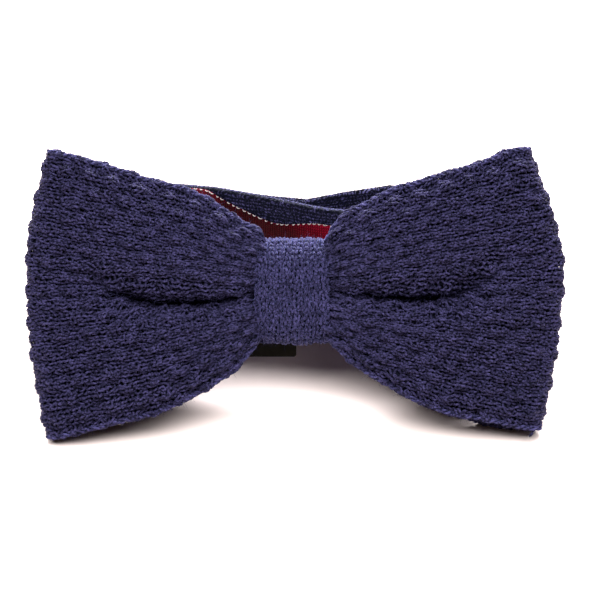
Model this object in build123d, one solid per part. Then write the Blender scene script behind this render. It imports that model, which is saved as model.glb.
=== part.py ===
from build123d import *

import math
import os

# Ready-tied knitted bow tie, leaning on its own fastened neckband. Millimetres, +Z up.
#
# The bow faces -Y and leans back, standing on the two lower corners of its wings. The neckband
# makes a closed loop on edge behind it: sewn to the back of the knot on the right, round behind
# the bow, and back to a flat hook that catches an eye on the knot. The origin is on the table, at
# the middle of the footprint.

os.makedirs("parts", exist_ok=True)

# ---- the bow's own plane: x across, s up the face, n out of the face ----
LEAN = 40.0                # degrees the face leans back from upright
FOOT_Y = -32.37            # where the plane's s = 0 line stands, in depth
FOOT_Z = 0.34              # and how high the knit's thickness lifts it
WAIST_S = 32.4             # height of the knot's middle up the face

# ---- wings: one knitted strip folded into two loops and gathered at the waist ----
PLY = 1.7                  # thickness of the knitted fabric
EDGE_SHARE = 0.62          # how much of a lobe's height is left at its edges
CREASE = 0.16              # half width of the valley, as a share of the wing's half height
WAIST_ROUND = 3.5
WAIST_HALF_X = 8.4         # half the length of the gathered waist
WAIST_HIGH = 20.6
WAIST_THICK = 9.4
FOLD_X = 59.6              # outer fold at mid height
CORNER_X = 54.6            # outer fold at the corners

# ---- knot wrap ----
KNOT_WIDE = 16.4
KNOT_HIGH = 24.4
KNOT_THICK = 14.6
WRAP_GAP_S = 0.75          # clear of the waist above and below
WRAP_GAP_N = 0.75
WRAP_ROUND = 5.2
THREAD = 0.6               # sewing thread, doubled
CINCH_PITCH = 1.5
SEAM_X = -5.8              # the wrap's closing seam, on its back
SEAM_COUNT = 7
SEAM_PITCH = 1.7

# ---- neckband ----
BAND_WIDE = 21.0
BAND_THICK = 1.8
RIBBON_WIDE = 10.0
RIBBON_THICK = 0.4
RIBBON_Z = 11.4            # height of the ribbon's middle above the table
STITCH_LONG = 1.5
STITCH_PITCH = 3.0
TAIL_THICK = 1.6
SEWN_S = 31.3              # middle of the band's end, sewn behind the knot
LAYER_GAP = 0.45           # between the main layer and the tail round the left bend
CLOSE_FIT = 0.02           # between pieces sewn to each other

# ---- clasp, in the bow's plane ----
PIVOT_X = -1.7             # axis of the eye's bar
PIVOT_N = -9.9
EYE_WIRE = 1.2
EYE_SEWN_X = 1.7           # the bar sewn on the wrap
EYE_HALF_HIGH = 6.2
EYE_LOOP = 0.32            # thickness of a thread loop round the bar
HOOK_HIGH = 24.0
HOOK_S = 29.7              # middle of the hook plate up the face
HOOK_RIGHT = 0.5
HOOK_LEFT = -14.2
HOOK_THICK = 1.2
HOOK_CORNER = 0.6
HOOK_BAR = 1.6             # end bar the strap turns round
HOOK_SLOT = 3.0
TONGUE_WIDE = 9.0
TONGUE_THICK = 0.8
TONGUE_LONG = 3.9
CATCH_GAP = 0.3            # between the eye's bar and the hook on either side
BIGHT_GAP = 0.15           # between the strap and the plate it turns round
BIGHT_LEFT = -21.0         # where the band's turn round the hook ends

# ---- adjuster slide ----
SLIDE_X = 36.0
SLIDE_Y = 50.1 + FOOT_Y    # middle plane of the band where the slide grips it
SLIDE_WIDE = 13.0
SLIDE_BAR = 1.8
SLIDE_RAIL = 1.7
SLIDE_CLEAR = 0.35
SLIDE_BAR_DEEP = 1.3
MIDDLE_BAR = 2.2
MIDDLE_BAR_DEEP = 1.5
TURN_ROOM = 1.9            # room inside the tail's turn for the middle bar

BOW = Location((0, FOOT_Y, FOOT_Z), (90 - LEAN, 0, 0))


def write(shape, name):
    """Label a sub-part and write its STEP."""
    shape.label = name
    export_step(shape, f"parts/{name}.step")


def in_plane(shape):
    """Move a shape drawn in x, s, n to its place in the room."""
    return BOW * shape


def room(x, s, n):
    """Room coordinates of a point in the bow's plane."""
    return (BOW * Location((x, s, n))).position


# ---------------------------------------------------------------- wings
def between(x, table):
    """Straight-line value of a table of (x, value) pairs."""
    for (x0, y0), (x1, y1) in zip(table, table[1:]):
        if x <= x1:
            return y0 + (y1 - y0) * (x - x0) / (x1 - x0)
    return table[-1][1]


TOP_EDGE = [(8.4, 42.7), (10.5, 48.3), (14, 51.0), (24, 55.4), (38, 59.8), (54.6, 63.8)]
LOW_EDGE = [(8.4, 22.1), (10.5, 18.2), (14, 14.8), (20, 11.3), (30, 6.0), (42, 3.0), (54.6, 0.4)]
CREST = [(8.4, 4.7), (12, 7.4), (26, 8.8), (42, 7.6), (54.6, 4.2), (61, 2.2)]
VALLEY = [(8.4, 1.2), (12, 5.0), (30, 7.0), (42, 3.0), (50, 0.6), (61, 0.0)]
BACK = [(8.4, 4.7), (12, 5.4), (30, 5.6), (48, 4.8), (54.6, 3.2), (61, 2.2)]
WING_STATIONS = [8.4, 10.5, 14, 20, 28, 36, 44, 52, 61]
HOLLOW_STATIONS = [16, 24, 34, 44, 54, 60]
HOLLOW_REACH = 7.0         # the hollow is open at the wing's upper and lower edges
FOLD_WALL = 2.4            # solid depth of the fold at the outer end


def wing_section(x, side, inset=0.0, reach=0.0):
    """Closed outline of the wing across its length: two front lobes with a valley, and a back."""
    low, top = between(x, LOW_EDGE), between(x, TOP_EDGE)
    middle, half = (low + top) / 2, (top - low) / 2 + reach
    crest, valley, back = between(x, CREST), between(x, VALLEY), between(x, BACK)
    points = []
    for v in (-0.97, -0.72, -0.42, -0.17, 0.0, 0.17, 0.42, 0.72, 0.97):
        lobe = EDGE_SHARE + (1 - EDGE_SHARE) * math.sqrt(1 - v * v)
        n = crest * lobe - valley * math.exp(-((v / CREASE) ** 2)) - inset
        points.append((side * x, middle + v * half, n))
    for v in (0.97, 0.5, 0.0, -0.5, -0.97):
        lobe = EDGE_SHARE + (1 - EDGE_SHARE) * math.sqrt(1 - v * v)
        n = -back * lobe + inset
        points.append((side * x, middle + v * half, n))
    return make_face(Spline(*points, periodic=True))


def fold_prism(side, short=0.0, deep=40.0):
    """Space inside the bowed line of the outer fold, short of it by a margin."""
    low, middle, high = -8.0, 32.0, 72.0
    sag = (FOLD_X - CORNER_X) * ((high - middle) / (63.8 - middle)) ** 2
    tip = FOLD_X - short
    outline = Polyline((side * (tip - sag), high), (0, high), (0, low), (side * (tip - sag), low))
    fold = ThreePointArc(
        (side * (tip - sag), low), (side * tip, middle), (side * (tip - sag), high)
    )
    return extrude(make_face(outline + fold), deep / 2, both=True)


def wing(side):
    """One looped wing: outer body less the space between its front and back plies."""
    outer = loft([wing_section(x, side) for x in WING_STATIONS], ruled=True)
    hollow = [wing_section(x, side, inset=PLY, reach=HOLLOW_REACH) for x in HOLLOW_STATIONS]
    inner = loft(hollow, ruled=True) & fold_prism(side, short=FOLD_WALL)
    return (outer & fold_prism(side)) - inner


def rounded_block(wide, high, thick, radius):
    """Block round the waist axis with its long edges rounded."""
    profile = Plane.YZ * RectangleRounded(high, thick, radius)
    block = extrude(profile, wide / 2, both=True)
    return Pos(0, WAIST_S, 0) * block


def bow_loop():
    waist = rounded_block(2 * WAIST_HALF_X, WAIST_HIGH, WAIST_THICK, WAIST_ROUND)
    return waist + wing(-1) + wing(1)


def waist_turn(x):
    """One turn of thread round the waist at x."""
    outer = rounded_block(THREAD, WAIST_HIGH + THREAD, WAIST_THICK + THREAD, WAIST_ROUND + 0.2)
    inner = rounded_block(2 * THREAD, WAIST_HIGH, WAIST_THICK, WAIST_ROUND)
    return Pos(x, 0, 0) * (outer - inner)


def cinch_thread():
    return Compound([waist_turn((i - 1.6) * CINCH_PITCH) for i in range(4)])


def knot_wrap():
    outer = rounded_block(KNOT_WIDE, KNOT_HIGH, KNOT_THICK, WRAP_ROUND)
    hole_high = WAIST_HIGH + 2 * WRAP_GAP_S
    hole_thick = WAIST_THICK + 2 * WRAP_GAP_N
    return outer - rounded_block(KNOT_WIDE + 1, hole_high, hole_thick, WAIST_ROUND + 0.5)


def surface_stitch(x, s, n, angle, long=STITCH_LONG):
    """One stitch lying on a face, turned in the face by angle."""
    return Pos(x, s, n) * Rot(0, 0, angle) * Box(long, THREAD, THREAD / 2)


def knot_seam_thread():
    """Whip stitches down the middle of the wrap's back."""
    n = -KNOT_THICK / 2 - THREAD / 4
    rows = [WAIST_S + (i - (SEAM_COUNT - 1) / 2) * SEAM_PITCH for i in range(SEAM_COUNT)]
    return Compound([surface_stitch(SEAM_X, s, n, 35, long=2.0) for s in rows])


# ---------------------------------------------------------------- clasp
def clasp_eye():
    """Bent wire eye: one bar sewn flat on the wrap, the other standing off it."""
    back = -KNOT_THICK / 2
    sewn = (EYE_SEWN_X, back - EYE_WIRE / 2 - CLOSE_FIT)
    free = (PIVOT_X, PIVOT_N)
    low, high = WAIST_S - EYE_HALF_HIGH, WAIST_S + EYE_HALF_HIGH
    corners = [
        (sewn[0], low, sewn[1]), (free[0], low, free[1]),
        (free[0], high, free[1]), (sewn[0], high, sewn[1]),
    ]
    path = FilletPolyline(*corners, radius=1.0, close=True)
    start = Plane(path @ 0, z_dir=path % 0)
    return sweep(start * Circle(EYE_WIRE / 2), path)


def eye_tack_thread():
    """Four thread loops over the eye's sewn bar."""
    back = -KNOT_THICK / 2
    over = EYE_WIRE / 2
    loops = []
    for s in (-4.2, -1.4, 1.4, 4.2):
        centre = (EYE_SEWN_X, WAIST_S + s, back - over - CLOSE_FIT)
        outer = Pos(*centre) * Rot(90, 0, 0) * Cylinder(over + EYE_LOOP, THREAD)
        core = Pos(*centre) * Rot(90, 0, 0) * Cylinder(over, THREAD * 2)
        wrap_side = Pos(EYE_SEWN_X, WAIST_S + s, back + 5) * Box(6, 3, 10)
        loops.append(outer - core - wrap_side)
    return Compound(loops)


PLATE_N = PIVOT_N - EYE_WIRE / 2 - CATCH_GAP - HOOK_THICK / 2
BIGHT_FRONT_N = PLATE_N + HOOK_THICK / 2 + BIGHT_GAP + TAIL_THICK / 2
BIGHT_REAR_N = PLATE_N - HOOK_THICK / 2 - BIGHT_GAP - TAIL_THICK / 2


def clasp_hook():
    """Flat plate with a strap slot at one end and a folded tongue at the other."""
    wide = HOOK_RIGHT - HOOK_LEFT
    middle = (HOOK_RIGHT + HOOK_LEFT) / 2
    outline = RectangleRounded(wide, HOOK_HIGH, HOOK_CORNER)
    slot_x = HOOK_LEFT + HOOK_BAR + HOOK_SLOT / 2 - middle
    slot = Pos(slot_x, 0) * Rectangle(HOOK_SLOT, BAND_WIDE + 0.6)
    plate = Pos(middle, HOOK_S, PLATE_N) * extrude(outline - slot, HOOK_THICK / 2, both=True)
    tongue_far = PIVOT_N + EYE_WIRE / 2 + CATCH_GAP + TONGUE_THICK
    face = PLATE_N + HOOK_THICK / 2
    deep = tongue_far - face
    web_wide = 1.1
    web_x = HOOK_RIGHT - web_wide / 2
    web = Pos(web_x, WAIST_S, face + deep / 2) * Box(web_wide, TONGUE_WIDE, deep)
    tip_x = HOOK_RIGHT - 0.6 - TONGUE_LONG / 2
    tip = Pos(tip_x, WAIST_S, tongue_far - TONGUE_THICK / 2) * Box(TONGUE_LONG, TONGUE_WIDE, TONGUE_THICK)
    hook = plate + web + tip
    return fillet(hook.edges().filter_by(Axis.Y).group_by(Axis.Z)[-1], 0.3)


def hook_bight():
    """The band's turn through the hook's slot and round its end bar."""
    right = HOOK_LEFT + HOOK_BAR + 0.4
    leg = right - BIGHT_LEFT
    front = Pos(BIGHT_LEFT + leg / 2, HOOK_S, BIGHT_FRONT_N) * Box(leg, BAND_WIDE, TAIL_THICK)
    rear = Pos(BIGHT_LEFT + leg / 2, HOOK_S, BIGHT_REAR_N) * Box(leg, BAND_WIDE, TAIL_THICK)
    turn_deep = BIGHT_FRONT_N - BIGHT_REAR_N + TAIL_THICK
    turn_n = (BIGHT_FRONT_N + BIGHT_REAR_N) / 2
    turn = Pos(right + TAIL_THICK / 2, HOOK_S, turn_n) * Box(TAIL_THICK, BAND_WIDE, turn_deep)
    bight = front + rear + turn
    return fillet(bight.edges().filter_by(Axis.Y).group_by(Axis.X)[-1], 1.2)


# ---------------------------------------------------------------- neckband
def band_station(x, y, z, heading, lean):
    """A place along the band: heading in degrees from +X, lean back from upright in degrees."""
    return (x, y + FOOT_Y, z, heading, lean)


def band_plane(station, shift=0.0):
    """Plane across the band: its x axis up the width, its y axis through the thickness."""
    x, y, z, heading, lean = station
    along = Vector(1, 0, 0).rotate(Axis.Z, heading)
    aside = along.rotate(Axis.Z, 90)
    up = Vector(0, 0, 1) * math.cos(math.radians(lean)) + aside * math.sin(math.radians(lean))
    origin = Vector(x, y, z) + up.cross(along) * shift
    return Plane(origin, x_dir=up, z_dir=along)


def strip(stations, wide, thick):
    """Flat strip lofted through stations."""
    return loft([band_plane(station) * Rectangle(wide, thick) for station in stations], ruled=True)


def arc_stations(centre, radius, start, end, count, z, lean=0.0):
    """Stations round a bend that is turned through anticlockwise seen from above."""
    found = []
    for i in range(count):
        angle = start + (end - start) * i / (count - 1)
        x = centre[0] + radius * math.cos(math.radians(angle))
        y = centre[1] + radius * math.sin(math.radians(angle))
        found.append(band_station(x, y, z, angle + 90, lean))
    return found


KNOT_BACK_N = -KNOT_THICK / 2 - BAND_THICK / 2 - CLOSE_FIT
SEWN = room(0, SEWN_S, KNOT_BACK_N)
RIGHT_RUN = [
    (3.4, SEWN.Y, SEWN.Z, 0, LEAN),
    (10.5, SEWN.Y, SEWN.Z, 0, LEAN),
    band_station(19, 28.0, 16.6, 8, 36),
    band_station(30, 30.4, 15.4, 14, 24),
    band_station(41, 33.9, 13.8, 18, 10),
]
RIGHT_BEND = arc_stations((46.5, 43.2), 6.9, -70, 90, 7, 13.0)
FAR_RUN = [
    band_station(22.0, 50.1, 13.0, 180, 0),
    band_station(16.0, 50.7, 12.6, 172, 0),
    band_station(6.0, 53.7, 11.8, 163, 0),
    band_station(-6.0, 57.5, 11.2, 163, 0),
    band_station(-18.0, 61.1, 10.9, 164, 0),
    band_station(-30.0, 63.5, 10.8, 173, 0),
    band_station(-41.0, 63.3, 10.8, 187, 0),
]
LEFT_CENTRE = (-44.5, 52.15)
LEFT_RADIUS = 10.75
LEFT_BEND = arc_stations(LEFT_CENTRE, LEFT_RADIUS, 104, 250, 7, 10.8)
LEFT_RUN = [
    band_station(-40.0, 38.9, 11.4, -30, 8),
    band_station(-31.0, 34.6, 13.2, -22, 22),
]
hook_rear = room(BIGHT_LEFT - 2.0, HOOK_S, BIGHT_REAR_N)
hook_front = room(BIGHT_LEFT - 2.0, HOOK_S, BIGHT_FRONT_N)
MAIN_END = [(hook_rear.X, hook_rear.Y, hook_rear.Z, -12, 36)]
MAIN = RIGHT_RUN + RIGHT_BEND + FAR_RUN + LEFT_BEND + LEFT_RUN + MAIN_END


def neckband():
    return strip(MAIN, BAND_WIDE, BAND_THICK)


RIBBON_RUN = [(x, y, RIBBON_Z, heading, 0) for x, y, z, heading, lean in FAR_RUN[1:] + LEFT_BEND]


def lining_ribbon():
    """Upright ribbon on the band's inner face, drawn in plan."""
    near = BAND_THICK / 2 + CLOSE_FIT
    far = near + RIBBON_THICK
    plan = [band_plane(station, near).origin for station in RIBBON_RUN]
    plan += [band_plane(station, far).origin for station in reversed(RIBBON_RUN)]
    outline = Polyline(*[(point.X, point.Y) for point in plan], close=True)
    return Pos(0, 0, RIBBON_Z) * extrude(make_face(outline), RIBBON_WIDE / 2, both=True)


def point_along(stations, distance):
    """Station at a distance along the straight spans between stations."""
    for a, b in zip(stations, stations[1:]):
        span = (Vector(*b[:3]) - Vector(*a[:3])).length
        if distance <= span:
            t = distance / span
            return tuple(p + (q - p) * t for p, q in zip(a, b))
        distance -= span
    return stations[-1]


def run_length(stations):
    return sum((Vector(*b[:3]) - Vector(*a[:3])).length for a, b in zip(stations, stations[1:]))


def ribbon_stitches(up):
    """Row of white stitches on the ribbon, up its width from the middle."""
    offset = BAND_THICK / 2 + RIBBON_THICK + THREAD / 4 + 6 * CLOSE_FIT
    far_side = RIBBON_RUN[: len(FAR_RUN) - 1]
    count = int(run_length(far_side) // STITCH_PITCH)
    row = []
    for i in range(count):
        station = point_along(far_side, (i + 0.5) * STITCH_PITCH)
        plane = band_plane(station, offset)
        row.append(plane * Pos(up, 0) * Box(THREAD, THREAD / 2, STITCH_LONG))
    return Compound(row)


# the tail runs outside the main layer, from the hook round to the slide
TAIL_NEAR = [
    (hook_front.X, hook_front.Y, hook_front.Z, 168, -36),
    band_station(-31.0, 31.2, 13.0, 160, -22),
    band_station(-41.0, 35.3, 11.4, 150, -8),
]
TAIL_RADIUS = LEFT_RADIUS + (BAND_THICK + TAIL_THICK) / 2 + LAYER_GAP
TAIL_BEND = arc_stations(LEFT_CENTRE, TAIL_RADIUS, 250, 104, 7, 10.8)
TAIL_BEND = [(x, y, z, heading + 180, lean) for x, y, z, heading, lean in TAIL_BEND]
TAIL_FAR = [
    band_station(-30.0, 65.8, 10.7, -6, 0),
    band_station(-18.0, 63.6, 10.7, -14, 0),
    band_station(-6.0, 60.3, 10.7, -14, 0),
    band_station(3.0, 57.8, 10.7, -2, 0),
    band_station(12.0, 59.3, 10.9, 8, 0),
]


def neckband_tail():
    return strip(TAIL_NEAR + TAIL_BEND + TAIL_FAR, BAND_WIDE, TAIL_THICK)


def anchor_tack_thread():
    """Line of stitches holding the band's end on the back of the knot, with a bar at its top."""
    n = KNOT_BACK_N - BAND_THICK / 2 - THREAD / 4
    line_x = 5.4
    row = []
    for i in range(6):
        s = SEWN_S + (i - 2.5) * 3.2
        row.append(surface_stitch(line_x, s, n, 90, long=2.2))
    for x in (line_x, line_x + 2.0):
        row.append(surface_stitch(x, SEWN_S + 9.2, n, 0))
    return Compound(row)


# ---------------------------------------------------------------- adjuster
SLIDE_Z = 13.0
SLIDE_TALL = BAND_WIDE + 2 * (SLIDE_CLEAR + SLIDE_RAIL)
SLIDE_FRONT = SLIDE_Y - BAND_THICK / 2 - SLIDE_CLEAR
TURN_FRONT = SLIDE_Y + BAND_THICK / 2 + SLIDE_CLEAR
TURN_BACK = TURN_FRONT + 2 * TAIL_THICK + TURN_ROOM


def adjuster_slide():
    """Moulded frame: two outer bars before the band, a middle bar behind it, a rail at each end."""
    bar_front = TURN_FRONT + TAIL_THICK + 0.2
    rail_front = SLIDE_FRONT - SLIDE_BAR_DEEP
    rail_back = bar_front + MIDDLE_BAR_DEEP
    rail_y = (rail_back + rail_front) / 2
    frame = Pos(SLIDE_X, bar_front + MIDDLE_BAR_DEEP / 2, SLIDE_Z) * Box(
        MIDDLE_BAR, MIDDLE_BAR_DEEP, SLIDE_TALL
    )
    for side in (-1, 1):
        x = SLIDE_X + side * (SLIDE_WIDE - SLIDE_BAR) / 2
        frame += Pos(x, SLIDE_FRONT - SLIDE_BAR_DEEP / 2, SLIDE_Z) * Box(
            SLIDE_BAR, SLIDE_BAR_DEEP, SLIDE_TALL
        )
        z = SLIDE_Z + side * (SLIDE_TALL - SLIDE_RAIL) / 2
        frame += Pos(SLIDE_X, rail_y, z) * Box(SLIDE_WIDE, rail_back - rail_front, SLIDE_RAIL)
    corners = frame.edges().filter_by(Axis.Y).group_by(SortBy.LENGTH)[-1]
    return fillet(corners, 1.2)


def tail_end():
    """The tail's end, turned round the slide's middle bar and laid back on itself."""
    left = SLIDE_X - 6.0
    right = SLIDE_X + MIDDLE_BAR / 2 + 0.2 + TAIL_THICK
    turn_y = (TURN_FRONT + TURN_BACK) / 2
    block = Box(right - left, TURN_BACK - TURN_FRONT, BAND_WIDE)
    block = Pos((left + right) / 2, turn_y, SLIDE_Z) * block
    block = fillet(block.edges().filter_by(Axis.Z).group_by(Axis.X)[-1], 1.6)
    inside_right = right - TAIL_THICK
    inside = Box(inside_right - left + 2.0, TURN_ROOM, BAND_WIDE + 1)
    inside = Pos((inside_right + left - 2.0) / 2, turn_y, SLIDE_Z) * inside
    lead = strip(
        [
            (22.8, TURN_BACK + 4.0, SLIDE_Z, -26, 0),
            (26.4, TURN_BACK + 1.6, SLIDE_Z, -30, 0),
            (left + 0.6, TURN_BACK - TAIL_THICK / 2, SLIDE_Z, -6, 0),
        ],
        BAND_WIDE,
        TAIL_THICK,
    )
    return block - inside + lead


def tail_tack_thread():
    """Bar tack across the tail where it is sewn back on itself."""
    y = TURN_BACK + THREAD / 4
    tack_x = SLIDE_X - 2.6
    rows = [SLIDE_Z + (i - 4) * 2.0 for i in range(9)]
    return Compound([Pos(tack_x, y, z) * Box(1.8, THREAD / 2, THREAD) for z in rows])


def main():
    write(in_plane(bow_loop()), "bow_loop")
    write(in_plane(cinch_thread()), "cinch_thread")
    write(in_plane(knot_wrap()), "knot_wrap")
    write(in_plane(knot_seam_thread()), "knot_seam_thread")
    write(in_plane(clasp_eye()), "clasp_eye")
    write(in_plane(eye_tack_thread()), "eye_tack_thread")
    write(in_plane(clasp_hook()), "clasp_hook")
    write(in_plane(hook_bight()), "hook_bight")
    write(neckband(), "neckband")
    write(neckband_tail(), "neckband_tail")
    write(lining_ribbon(), "lining_ribbon")
    write(ribbon_stitches(RIBBON_WIDE / 2 - 0.5), "ribbon_stitches_upper")
    write(ribbon_stitches(0.5 - RIBBON_WIDE / 2), "ribbon_stitches_lower")
    write(in_plane(anchor_tack_thread()), "anchor_tack_thread")
    write(adjuster_slide(), "adjuster_slide")
    write(tail_end(), "tail_end")
    write(tail_tack_thread(), "tail_tack_thread")


main()
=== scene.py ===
"""Looks of the ready-tied knitted bow tie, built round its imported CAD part.

Lengths are millimetres up to the point where a mesh is made, which turns them into metres. The
bow's own plane has x across, s up its face and n out of its face, and leans back from upright.
"""

import math

import bpy
import numpy as np
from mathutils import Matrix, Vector


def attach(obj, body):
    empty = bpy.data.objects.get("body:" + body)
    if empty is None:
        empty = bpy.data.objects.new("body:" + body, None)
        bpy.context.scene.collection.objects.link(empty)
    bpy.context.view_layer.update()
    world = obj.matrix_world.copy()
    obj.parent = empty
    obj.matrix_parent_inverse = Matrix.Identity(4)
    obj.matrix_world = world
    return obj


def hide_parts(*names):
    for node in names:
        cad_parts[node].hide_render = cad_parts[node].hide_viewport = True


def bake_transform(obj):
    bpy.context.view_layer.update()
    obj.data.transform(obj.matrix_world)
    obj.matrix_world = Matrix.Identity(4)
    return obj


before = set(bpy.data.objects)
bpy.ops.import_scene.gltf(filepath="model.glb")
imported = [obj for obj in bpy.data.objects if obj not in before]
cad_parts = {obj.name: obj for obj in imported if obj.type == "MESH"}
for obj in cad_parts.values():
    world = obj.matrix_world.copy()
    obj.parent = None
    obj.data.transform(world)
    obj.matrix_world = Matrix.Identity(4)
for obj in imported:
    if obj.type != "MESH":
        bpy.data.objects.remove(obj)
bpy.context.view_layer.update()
scene = bpy.context.scene

LEAN = math.radians(40.0)
FOOT_Y = -32.37  # where the plane's s = 0 line stands, in depth
FOOT_Z = 0.34  # and how high the knit's thickness lifts it
MM = 0.001
ORIGIN = np.array([0.0, FOOT_Y, FOOT_Z])
ACROSS = np.array([1.0, 0.0, 0.0])
UP_FACE = np.array([0.0, math.sin(LEAN), math.cos(LEAN)])
OUT_FACE = np.array([0.0, -math.cos(LEAN), math.sin(LEAN)])


def room(points):
    """Points in x, s, n of the bow's plane as room points."""
    x, s, n = points[..., 0:1], points[..., 1:2], points[..., 2:3]
    return ORIGIN + x * ACROSS + s * UP_FACE + n * OUT_FACE


def in_room(x, s, n):
    """Room point of one place in the bow's plane."""
    return room(np.array([x, s, n], float))


# ---- camera
VIEW_WIDTH = 132.2  # what the picture takes in across the bow
LENS = 250.0
FILM = 36.0
AIM = in_room(1.33, 30.4, 4.0)
distance = VIEW_WIDTH * LENS / FILM
camera_data = bpy.data.cameras.new("camera")
camera_data.lens = LENS
camera_data.sensor_width = FILM
camera_data.clip_start = 0.01
camera_data.dof.use_dof = False
camera = bpy.data.objects.new("camera", camera_data)
scene.collection.objects.link(camera)
camera.location = (AIM + OUT_FACE * distance) * MM
camera.rotation_euler = (math.pi / 2 - LEAN, 0.0, 0.0)
scene.camera = camera


# ---- meshes
def make_mesh(name, points, faces, material):
    """Object from room points in millimetres and four-sided faces."""
    mesh = bpy.data.meshes.new(name)
    faces = np.ascontiguousarray(faces, dtype=np.int32)
    mesh.vertices.add(len(points))
    mesh.vertices.foreach_set("co", (points * MM).astype(np.float32).ravel())
    mesh.loops.add(faces.size)
    mesh.loops.foreach_set("vertex_index", faces.ravel())
    mesh.polygons.add(len(faces))
    mesh.polygons.foreach_set("loop_start", np.arange(len(faces), dtype=np.int32) * faces.shape[1])
    mesh.update(calc_edges=True)
    mesh.validate()
    mesh.shade_smooth()
    made = bpy.data.objects.new(name, mesh)
    scene.collection.objects.link(made)
    mesh.materials.append(material)
    return made


def unit(vectors):
    """Vectors at length one."""
    return vectors / np.maximum(np.linalg.norm(vectors, axis=-1, keepdims=True), 1e-9)


YARN_TIP = 0.01  # radius at a strand's ends


def quads(*corners):
    """Four-sided faces from grids of corner numbers."""
    return np.stack(corners, axis=-1).reshape(-1, 4)


def tubes(lines, ups, radii, sides):
    """Round tubes along lines, (count, steps, 3); ups are rough outward directions."""
    along = unit(np.gradient(lines, axis=1))
    aside = unit(np.cross(along, ups))
    over = np.cross(aside, along)
    turn = np.arange(sides) * 2 * np.pi / sides
    ring = np.cos(turn)[:, None] * aside[:, :, None, :] + np.sin(turn)[:, None] * over[:, :, None, :]
    points = lines[:, :, None, :] + radii[:, :, None, None] * ring
    index = np.arange(points[..., 0].size).reshape(points.shape[:3])
    here, there = index[:, :-1], index[:, 1:]
    return points.reshape(-1, 3), quads(here, there, np.roll(there, -1, 2), np.roll(here, -1, 2))


def joined(parts):
    """Several (points, faces) as one."""
    points, faces, count = [], [], 0
    for part_points, part_faces in parts:
        points.append(part_points)
        faces.append(part_faces + count)
        count += len(part_points)
    return np.concatenate(points), np.concatenate(faces)


def grid_faces(rows, columns, start=0, flip=False):
    """Four-sided faces between neighbours in a grid of points."""
    index = start + np.arange(rows * columns).reshape(rows, columns)
    corners = [index[:-1, :-1], index[1:, :-1], index[1:, 1:], index[:-1, 1:]]
    return quads(*corners[::-1]) if flip else quads(*corners)


def rim(index):
    """The outline of a grid of vertex numbers, in order."""
    return np.concatenate([index[0, :-1], index[:-1, -1], index[-1, :0:-1], index[:0:-1, 0]])


def shell(outer, inner):
    """Closed sheet between two grids of points of the same shape."""
    rows, columns = outer.shape[:2]
    count = rows * columns
    top = rim(np.arange(count).reshape(rows, columns))
    low = top + count
    side = quads(top, np.roll(top, -1), np.roll(low, -1), low)
    faces = [grid_faces(rows, columns), grid_faces(rows, columns, count, flip=True), side]
    return np.concatenate([outer.reshape(-1, 3), inner.reshape(-1, 3)]), np.concatenate(faces)


# ---- noise and curves
NOISE_CELLS = 61


def smooth(t):
    """Ease from 0 to 1 as t goes from 0 to 1."""
    t = np.clip(t, 0, 1)
    return t * t * (3 - 2 * t)


def noise(seed):
    """Smooth noise from -1 to 1 over two numbers, repeating every NOISE_CELLS."""
    table = np.random.default_rng(seed).uniform(-1, 1, (NOISE_CELLS, NOISE_CELLS))

    def at(a, b):
        ia, ib = np.floor(a).astype(int), np.floor(b).astype(int)
        fa, fb = smooth(a - ia), smooth(b - ib)
        ja, jb = (ia + 1) % NOISE_CELLS, (ib + 1) % NOISE_CELLS
        ia, ib = ia % NOISE_CELLS, ib % NOISE_CELLS
        low = table[ia, ib] * (1 - fa) + table[ja, ib] * fa
        high = table[ia, jb] * (1 - fa) + table[ja, jb] * fa
        return low * (1 - fb) + high * fb

    return at


def bell(offset, wide):
    """A soft hump of height 1 about offset 0."""
    return np.exp(-((offset / wide) ** 2))


def smoothed(columns, step, spread, reach):
    """Each column of evenly spaced values, averaged over about spread."""
    kernel = np.exp(-0.5 * (np.arange(-reach, reach + 1) * step / spread) ** 2)
    padded = np.pad(columns, ((reach, reach), (0, 0)), mode="reflect", reflect_type="odd")
    return np.stack([np.convolve(column, kernel / kernel.sum(), mode="valid") for column in padded.T], -1)


def curve(pairs, spread=1.0):
    """Smooth value of a table of (place, value) pairs."""
    pairs = np.array(pairs, float)
    places = np.linspace(pairs[0, 0], pairs[-1, 0], 500)
    values = np.interp(places, pairs[:, 0], pairs[:, 1])
    step = places[1] - places[0]
    values = smoothed(values[:, None], step, spread, int(3 * spread / step) + 1)[:, 0]
    return lambda place: np.interp(place, places, values)


def lifted(place, c, q, lift, reach=0.2):
    """Points of a surface place(c, q) moved out along its normal by lift, and the normals."""
    c, q = np.broadcast_arrays(c, q)
    along = place(c + reach, q) - place(c - reach, q)
    aside = place(c, q + reach) - place(c, q - reach)
    normal = unit(np.cross(aside, along))
    return place(c, q) + normal * np.asarray(lift)[..., None], normal


def above_table(points, least):
    """Room points, none lower than least."""
    points[..., 2] = np.maximum(points[..., 2], least)
    return points


# ---- materials
def new_material(name):
    """Material, its node tree and its shader."""
    material = bpy.data.materials.new(name)
    material.use_nodes = True
    tree = material.node_tree
    shader = tree.nodes["Principled BSDF"]
    return material, tree, shader


def set_inputs(node, values):
    """Constants on a node's own inputs, by name."""
    for name, value in values.items():
        node.inputs[name].default_value = value


def object_noise(tree, scale, detail=2.0):
    """Noise over the object's own coordinates, scale cells to a metre."""
    place = tree.nodes.new("ShaderNodeTexCoord")
    texture = tree.nodes.new("ShaderNodeTexNoise")
    set_inputs(texture, {"Scale": scale, "Detail": detail, "Roughness": 0.6})
    tree.links.new(place.outputs["Object"], texture.inputs["Vector"])
    return texture.outputs["Fac"]


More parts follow.
